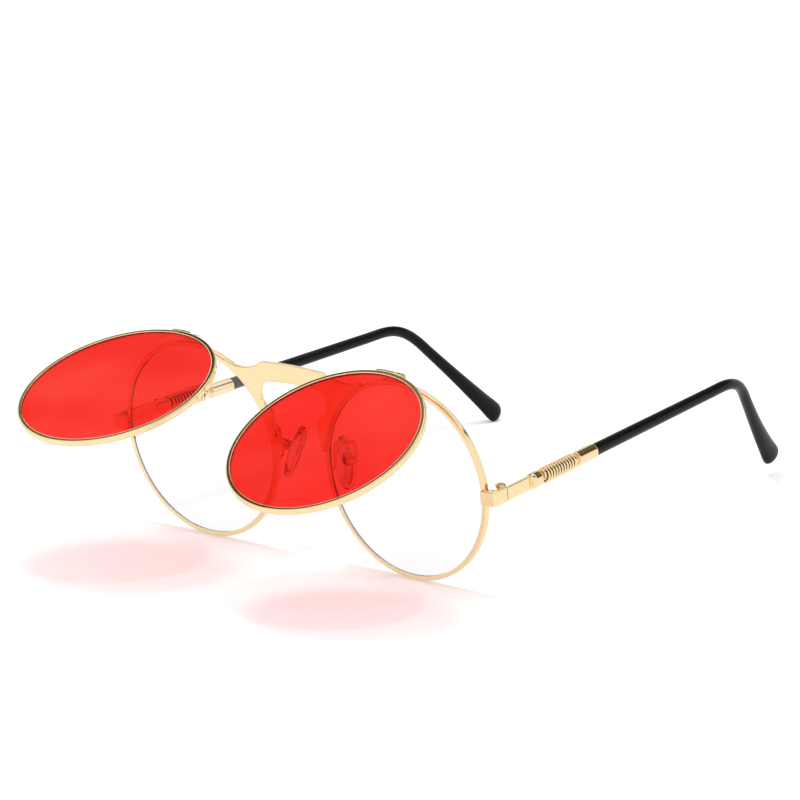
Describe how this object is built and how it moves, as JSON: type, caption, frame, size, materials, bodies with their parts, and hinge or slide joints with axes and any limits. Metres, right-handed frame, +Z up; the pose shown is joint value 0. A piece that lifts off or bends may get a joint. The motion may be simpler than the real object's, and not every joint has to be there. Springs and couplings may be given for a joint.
{
  "type": "flip up sunglasses",
  "caption": "Round wire-rim spectacles with tinted lenses that flip up on hinges above clear ones, folding temples with coil springs and rocking nose pads",
  "frame": {"origin": "middle of the footprint at floor height, on the mid-plane between the two lenses", "axes": "+X to the viewer's right when facing the lenses (the wearer's left), +Y from the lenses back along the temples, +Z up; metres"},
  "size_m": [0.1284, 0.1948, 0.0555],
  "materials": {
    "gold": "polished pale gold plating",
    "steel": "turned steel washed with pale gold",
    "core_wire": "oiled dark spring steel",
    "clear_lens": "clear lens resin",
    "tinted_lens": "red tinted lens resin",
    "sleeve": "polished black acetate",
    "pad_silicone": "clear soft silicone"
  },
  "bodies": {
    "front": {"bridge_plate": "gold", "clear_lens_left": "clear_lens", "clear_lens_right": "clear_lens", "endpiece_left": "gold", "endpiece_right": "gold", "flip_hinge_base_left": "gold", "flip_hinge_base_right": "gold", "flip_hinge_pins": "steel", "pad_arm_left": "gold", "pad_arm_right": "gold", "pad_box_left": "gold", "pad_box_right": "gold", "pad_screws": "steel", "rim_left": "gold", "rim_lock_left": "gold", "rim_lock_right": "gold", "rim_lock_screws": "steel", "rim_right": "gold", "temple_hinge_screws": "steel"},
    "flip_left": {"flip_leaf_left": "gold", "flip_lens_left": "tinted_lens", "flip_rim_left": "gold"},
    "flip_right": {"flip_leaf_right": "gold", "flip_lens_right": "tinted_lens", "flip_rim_right": "gold"},
    "temple_left": {"ferrule_left": "gold", "temple_bar_left": "gold", "temple_core_left": "core_wire", "temple_sleeve_left": "sleeve", "temple_spring_left": "gold"},
    "temple_right": {"ferrule_right": "gold", "temple_bar_right": "gold", "temple_core_right": "core_wire", "temple_sleeve_right": "sleeve", "temple_spring_right": "gold"},
    "pad_left": {"nose_pad_left": "pad_silicone", "pad_stem_left": "steel"},
    "pad_right": {"nose_pad_right": "pad_silicone", "pad_stem_right": "steel"}
  },
  "joints": [
    {"name": "flip_left_hinge", "type": "hinge", "parent": "front", "child": "flip_left", "pos_m": [-0.034, -0.04639, 0.05301], "axis": [-1, 0, 0], "range_deg": [-74.9, 15.1]},
    {"name": "flip_right_hinge", "type": "hinge", "parent": "front", "child": "flip_right", "pos_m": [0.034, -0.04639, 0.05301], "axis": [-1, 0, 0], "range_deg": [-66.7, 23.3]},
    {"name": "temple_left_hinge", "type": "hinge", "parent": "front", "child": "temple_left", "pos_m": [-0.06145, -0.03911, 0.02618], "axis": [0, 0.1039, -0.9946], "range_deg": [0, 80]},
    {"name": "temple_right_hinge", "type": "hinge", "parent": "front", "child": "temple_right", "pos_m": [0.06145, -0.03911, 0.02618], "axis": [0, -0.1039, 0.9946], "range_deg": [-3.9, 66.1]},
    {"name": "pad_left_rock", "type": "hinge", "parent": "front", "child": "pad_left", "pos_m": [-0.0112, -0.03587, 0.02596], "axis": [-0.297, 0.9498, -0.0985], "range_deg": [-8, 8]},
    {"name": "pad_right_rock", "type": "hinge", "parent": "front", "child": "pad_right", "pos_m": [0.0112, -0.03587, 0.02596], "axis": [0.297, 0.9498, -0.0985], "range_deg": [-8, 8]}
  ]
}
